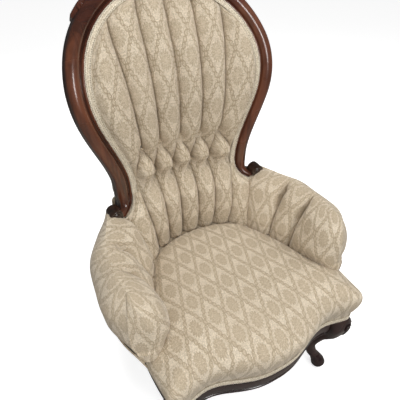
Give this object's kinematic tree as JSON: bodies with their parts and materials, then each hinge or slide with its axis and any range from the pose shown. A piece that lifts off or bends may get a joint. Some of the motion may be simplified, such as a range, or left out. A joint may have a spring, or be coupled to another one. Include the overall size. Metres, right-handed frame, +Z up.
{
  "type": "upholstered balloon back armchair",
  "caption": "Parlour armchair with a show-wood balloon frame, channelled and tufted spoon back, rolled padded arms, sprung serpentine-front seat and cabriole front legs.",
  "frame": {"origin": "on the floor under the middle of the chair's outline", "axes": "+X to the right of someone facing the chair, +Y to its rear, +Z up; the seat opens towards -Y"},
  "size_m": [0.724, 0.7304, 1.1415],
  "materials": {
    "show_wood": "dark red-brown mahogany under gloss polish",
    "inner_frame_wood": "plain unpolished beech",
    "damask": "woven damask in cream and tan",
    "gimp_braid": "woven looped braid",
    "jute": "coarse plain weave",
    "black_cambric": "thin matt cloth",
    "spring_steel": "bright drawn wire"
  },
  "bodies": {
    "root": {"crest_rail": "show_wood", "right_back_stile": "show_wood", "left_back_stile": "show_wood", "front_rail": "show_wood", "back_rail": "inner_frame_wood", "right_side_rail": "show_wood", "left_side_rail": "show_wood", "right_front_leg": "show_wood", "left_front_leg": "show_wood", "right_rear_leg": "show_wood", "left_rear_leg": "show_wood", "right_arm_rail": "inner_frame_wood", "left_arm_rail": "inner_frame_wood", "right_arm_stump": "inner_frame_wood", "left_arm_stump": "inner_frame_wood", "corner_blocks": "inner_frame_wood", "corner_block_screws": "spring_steel", "frame_dowels": "inner_frame_wood", "seat_webbing_lengthwise": "jute", "seat_webbing_crosswise": "jute", "seat_springs": "spring_steel", "spring_hessian": "jute", "seat_cushion": "damask", "seat_gimp": "gimp_braid", "dust_cover": "black_cambric", "back_pad": "damask", "back_buttons": "damask", "frame_gimp": "gimp_braid", "right_arm_pad": "damask", "left_arm_pad": "damask", "arm_buttons": "damask", "right_outside_arm_panel": "damask", "left_outside_arm_panel": "damask", "back_hessian": "jute", "back_webbing": "jute", "outside_back_panel": "damask"}
  },
  "joints": []
}
